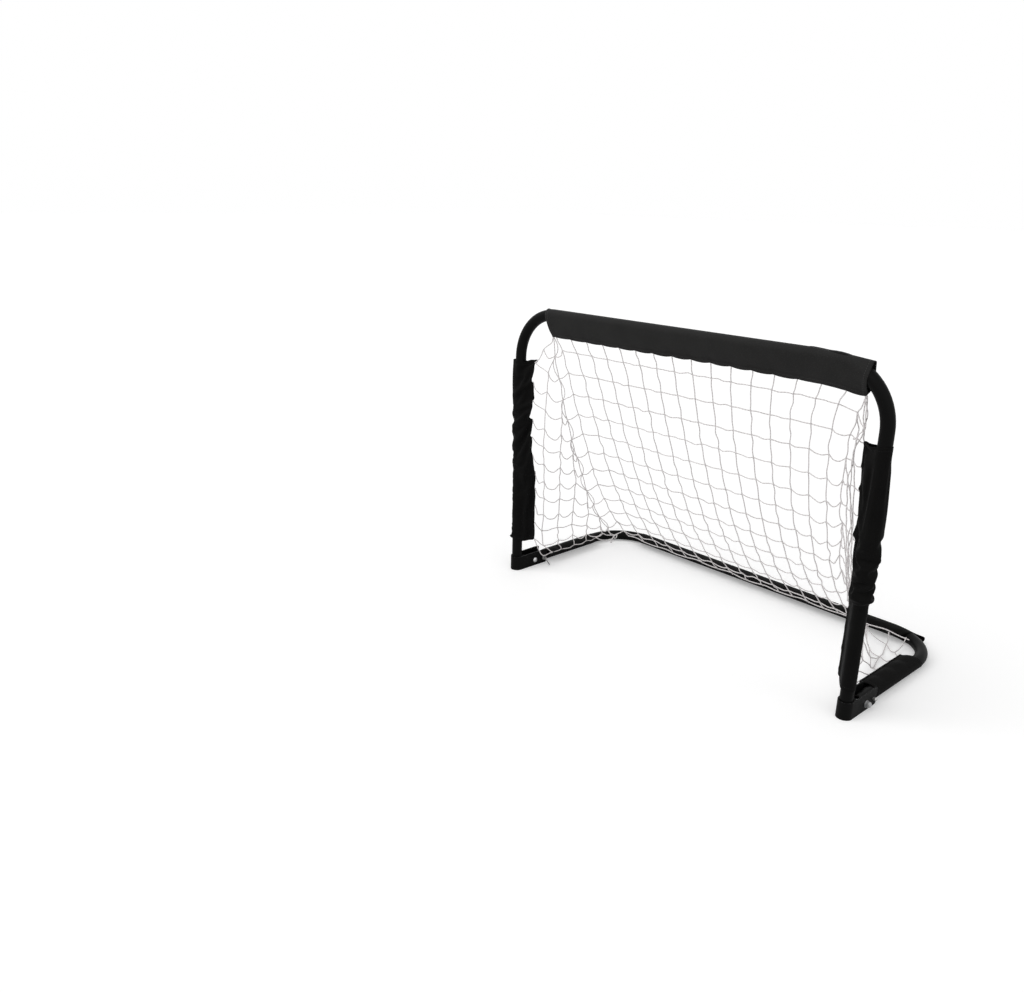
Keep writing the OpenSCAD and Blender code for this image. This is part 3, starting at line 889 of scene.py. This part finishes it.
for a, b in (
    ("rear 17", "low 17"), ("rear 18", "low 18"), ("low 17", "low 18"), ("low 18", "side 4"),
    (("seam", 1, 12), "low 17"), ("low 17", "lower 17"), (("side", 1, ROWS, 4), "lower 17"),
    ("lower 17", "side 3"), ("lower 17", ("side", 1, ROWS, 2)), (("side", 1, ROWS, 2), "side 2"),
    (("side", 1, ROWS, 2), ("side", 1, ROWS, 3)), (("side", 1, ROWS, 3), ("side", 1, ROWS, 4)),
    (("side", 1, ROWS, 4), ("seam", 1, 12)), (("side", 1, ROWS, 3), "lower 17"),
):  # fmt: skip
    cord(a, b, ease=1.03)
for k in range(6):
    cord(("side", -1, ROWS, k), ("side", -1, ROWS, k + 1), ease=1.01)
cord(("side", -1, ROWS, 6), ("seam", -1, ROWS), ease=1.01)
for side in (-1, 1):
    for r in range(2, ROWS):
        cells = side_cells[side][r]
        lengths = [0.033] + [0.042] * (cells - 2) + [0.030]
        span = np.linalg.norm(knots[number["side", side, r, 0]] - knots[number["seam", side, r]])
        ease_by = 1.02 * span / sum(lengths)
        for k in range(cells):
            cord(("side", side, r, k), ("side", side, r, k + 1), lengths[k] * ease_by)
    cord(("side", side, ROWS - 1, 0), ("side", side, ROWS, 0), ease=1.1)
    for k in range(1, side_cells[side][ROWS]):
        chain = side_column(side, k)
        far = np.linalg.norm(knots[number[chain[0]]] - knots[number[chain[-1]]])
        for a, b in zip(chain, chain[1:]):
            cord(a, b, 1.03 * far / (len(chain) - 1))

# each cord is three lengths, so that it can droop between its knots
LOWEST = 0.0026
points, fixed, between = list(knots), list(held), {}
links, longest = [], []
for a, b, length in cords:
    inner = []
    for t in (1 / 3, 2 / 3):
        inner.append(len(points))
        points.append(knots[a] + (knots[b] - knots[a]) * t - [0, 0, 0.002])
        fixed.append(False)
    between[a, b] = inner
    between[b, a] = inner[::-1]
    for u, v in zip([a, *inner], [*inner, b]):
        links.append((u, v))
        longest.append(length / 3)


def clear_of_frames(moved, before, free):
    for off_frame in (off_front_frame, off_base_frame):
        inside, push = off_frame(moved, TUBE_R + 0.003)
        inside &= free > 0
        moved[inside] += push[inside]
    low_points = (moved[:, 2] < LOWEST) & (free > 0)
    moved[low_points, 2] = LOWEST


hung = settle(
    np.array(points),
    np.array(fixed),
    links,
    np.zeros(len(links)),
    longest,
    (0, 0, -0.5),
    420,
    16,
    clear_of_frames,
)

net_cord = Finish("net_cord")
lay = net_cord.node("UVMap", {"uv_map": "cord"}, {})
along = net_cord.node("SeparateXYZ", {}, {0: lay})
round_it = along.part("Y")
LAY = 0.006
strand_a = (along + round_it * LAY).wave(LAY)
strand_b = (along - round_it * LAY).wave(LAY)
braid = strand_a.larger(strand_b)
soil = net_cord.grain(net_cord.place(), 38, 4)
# painted shade: the base colour darkens in the grooves between the braid's strands, and soil adds
# random dirt
net_cord.surface(
    Base_Color=net_cord.blend(
        (1 - braid).above(0.25, 0.6) * 0.5 + soil * 0.3,
        (0.76, 0.73, 0.73, 1),
        (0.48, 0.45, 0.45, 1),
    ),
    Roughness=0.52 + soil * 0.14,
    Normal=net_cord.relief(braid, 0.0003, 0.9),
)


class Strings:
    """Cords swept along lines and joined into one mesh."""

    def __init__(self):
        self.points, self.centres, self.faces, self.uv, self.count = [], [], [], [], 0

    def sweep(self, line, radius, sides=6, closed=False):
        line = np.asarray(line, float)
        if closed:
            line = np.vstack([line, line[:1]])
        step = np.diff(line, axis=0)
        run = np.r_[0, np.cumsum(np.linalg.norm(step, axis=1))]
        tangent = np.vstack([step[:1], step[1:] + step[:-1], step[-1:]])
        if closed:
            tangent[0] = tangent[-1] = step[0] + step[-1]
        tangent /= np.maximum(np.linalg.norm(tangent, axis=1), 1e-12)[:, None]
        start = np.cross(tangent[0], [0.31, 0.52, 0.8])
        normals = [start / np.linalg.norm(start)]
        for direction in tangent[1:]:
            n = normals[-1] - direction * (normals[-1] @ direction)
            normals.append(n / np.linalg.norm(n))
        normals = np.array(normals)
        other = np.cross(tangent, normals)
        angle = np.linspace(0, 2 * np.pi, sides, endpoint=False)
        radius = np.broadcast_to(radius, len(line))[:, None, None]
        cosine, sine = np.cos(angle)[None, :, None], np.sin(angle)[None, :, None]
        ring = normals[:, None] * cosine + other[:, None] * sine
        made = (line[:, None] + ring * radius).reshape(-1, 3)
        at = self.count + np.arange(len(line) * sides).reshape(len(line), sides)
        following = np.roll(at, -1, 1)
        quads = np.stack([at[:-1], following[:-1], following[1:], at[1:]], -1)
        self.faces.append(quads.reshape(-1, 4))
        v = np.arange(sides + 1) / sides
        u0, u1 = run[:-1, None], run[1:, None]
        v0, v1 = v[None, :-1], v[None, 1:]
        corners = [(u0, v0), (u0, v1), (u1, v1), (u1, v0)]
        full = np.stack(
            [np.stack(np.broadcast_arrays(u + 0 * v0, w + 0 * u0), -1) for u, w in corners], 2
        )
        self.uv.append(full.reshape(-1, 2))
        self.points.append(made)
        self.centres.append(np.repeat(line, sides, axis=0))
        self.count += len(made)

    def piece(self, name, finish):
        mesh = bpy.data.meshes.new(name)
        mesh.from_pydata(np.vstack(self.points).tolist(), [], np.vstack(self.faces).tolist())
        mesh.uv_layers.new(name="cord").uv.foreach_set(
            "vector", np.vstack(self.uv).astype(np.float32).ravel()
        )
        mesh.shade_smooth()
        mesh.materials.append(finish.material)
        made = bpy.data.objects.new(name, mesh)
        bpy.context.collection.objects.link(made)
        return made


def smooth_line(line, per=3):
    """A smooth curve through the points of a line."""
    line = np.asarray(line, float)
    ends = np.vstack([2 * line[0] - line[1], line, 2 * line[-1] - line[-2]])
    t = (np.arange(per) / per)[:, None, None]
    p0, p1, p2, p3 = ends[:-3], ends[1:-2], ends[2:-1], ends[3:]
    made = 0.5 * (
        2 * p1
        + (p2 - p0) * t
        + (2 * p0 - 5 * p1 + 4 * p2 - p3) * t**2
        + (3 * p1 - p0 - 3 * p2 + p3) * t**3
    )
    return np.vstack([made.transpose(1, 0, 2).reshape(-1, 3), line[-1:]])


def strand(*keys):
    """The settled line of a cord that passes the named knots."""
    ids = [number[key] for key in keys]
    line = [hung[ids[0]]]
    for a, b in zip(ids, ids[1:]):
        line += [hung[i] for i in between[a, b]] + [hung[b]]
    return smooth_line(line)


rng = np.random.default_rng(5)
for inner in {id(pair): pair for pair in between.values()}.values():
    hung[inner] += rng.normal(size=(2, 3)) * 0.0006
hung[:, 2] = np.maximum(hung[:, 2], LOWEST)
CORD_R, THIN_R = 0.00102, 0.0009
net = Strings()
cord_lines = [[("back", r, j) for r in range(ROWS + 1)] for j in range(COLUMNS + 1)]
cord_lines.append([("seam", -1, r) for r in range(ROWS + 1)])
for r in range(1, ROWS):
    line = []
    if r > 1:
        line += [("side", -1, r, k) for k in range(side_cells[-1][r])]
    line += [("seam", -1, r)] + [("back", r, j) for j in range(COLUMNS + 1)]
    if r > 1:
        line += [("side", 1, r, k) for k in range(side_cells[1][r] - 1, -1, -1)]
    cord_lines.append(line)
for side in (-1, 1):
    cord_lines.append([("seam", side, 0), ("edge", side), ("side", side, 2, 0)])
    cord_lines.append([("edge", side), ("seam", side, 1)])
    cord_lines.append([("side", side, ROWS - 1, 0), ("side", side, ROWS, 0)])
    cord_lines += [side_column(side, k) for k in range(1, side_cells[side][ROWS])]
cord_lines.append([("side", -1, ROWS, k) for k in range(7)] + [("seam", -1, ROWS)])
cord_lines += [
    ["rear 17", "low 17", "lower 17", ("side", 1, ROWS, 2), "side 2"],
    ["rear 18", "low 18", "side 4"],
    [("seam", 1, 12), "low 17", "low 18"],
    [("seam", 1, 12), ("side", 1, ROWS, 4), "lower 17", "side 3"],
    [("side", 1, ROWS, 4), ("side", 1, ROWS, 3), ("side", 1, ROWS, 2)],
    [("side", 1, ROWS, 3), "lower 17"],
]
for line in cord_lines:
    net.sweep(strand(*line), CORD_R)

# the left seam is laced: a second strand swings from knot to knot beside the first
for r in range(ROWS - 1):
    a, b = hung[number["seam", -1, r]], hung[number["seam", -1, r + 1]]
    t = np.linspace(0, 1, 7)[:, None]
    side_step = (-1) ** r * np.array([0.006, 0.004, -0.002])
    droop = [0, 0, 0.004] * (t > 0.5) * (1 - t)
    net.sweep(smooth_line(a + (b - a) * t + np.sin(np.pi * t) * side_step - droop), THIN_R)
# on the right two strands run twisted from the crossbar's hem to a knot and down the side
path = np.array(
    [
        (0.3405, -0.1591, 0.4985), (0.344, -0.157, 0.473), (0.343, -0.156, 0.451),
        (0.338, -0.155, 0.438), (0.332, -0.152, 0.414), (0.330, -0.148, 0.391),
        (0.326, -0.144, 0.366), (0.329, -0.142, 0.340), (0.333, -0.137, 0.300),
        (0.333, -0.134, 0.272), (0.335, -0.132, 0.250), (0.338, -0.130, 0.222),
        (0.339, -0.127, 0.198), (0.340, -0.122, 0.170),
    ]
)  # fmt: skip
path = smooth_line(path, 6)
t = np.arange(len(path)) * 0.55
beside = np.stack([np.cos(t), np.sin(t), 0 * t], 1)
for sign in (1, -1):
    wander = np.stack([np.sin(t * 0.31 + sign), np.cos(t * 0.23), 0 * t], 1) * 0.0016
    net.sweep(path + beside * 0.0013 * sign + wander * (t > 8)[:, None], THIN_R)

turns = np.linspace(0, 2 * np.pi, 18, endpoint=False)
trefoil = np.stack(
    [
        np.sin(turns) + 2 * np.sin(2 * turns),
        np.cos(turns) - 2 * np.cos(2 * turns),
        -np.sin(3 * turns),
    ],
    1,
)
for middle, is_shown in zip(hung, shown):
    if is_shown:
        spin, _ = np.linalg.qr(rng.normal(size=(3, 3)))
        net.sweep(middle + trefoil @ spin * 0.00046, 0.00062, 5, closed=True)
net_piece = net.piece("net", net_cord)
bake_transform(net_piece)
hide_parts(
    "back_net", "left_side_net", "right_side_net", "left_seam_cord", "right_seam_cord"
)

# ---- Lacing --------------------------------------------------------------------------
# One cord that runs along the rear hem and is stitched over it between the net's ties.
lacing = Strings()
x = np.arange(-0.322, 0.3381, 0.004)
phase = (x + 0.322) / 0.0425 * 2 * np.pi
rng = np.random.default_rng(8)
drift = np.convolve(rng.normal(size=len(x) + 24), np.hanning(25), "valid") * 0.0002
line = np.stack(
    [x, 0.1352 - 0.0006 * np.cos(phase), 0.0185 + 0.0012 * np.sin(phase * 0.5) + drift], 1
)
lacing.sweep(line, 0.0011)
lace_piece = lacing.piece("rear_lacing", net_cord)
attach(lace_piece, "base")
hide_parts("rear_lacing_cord")
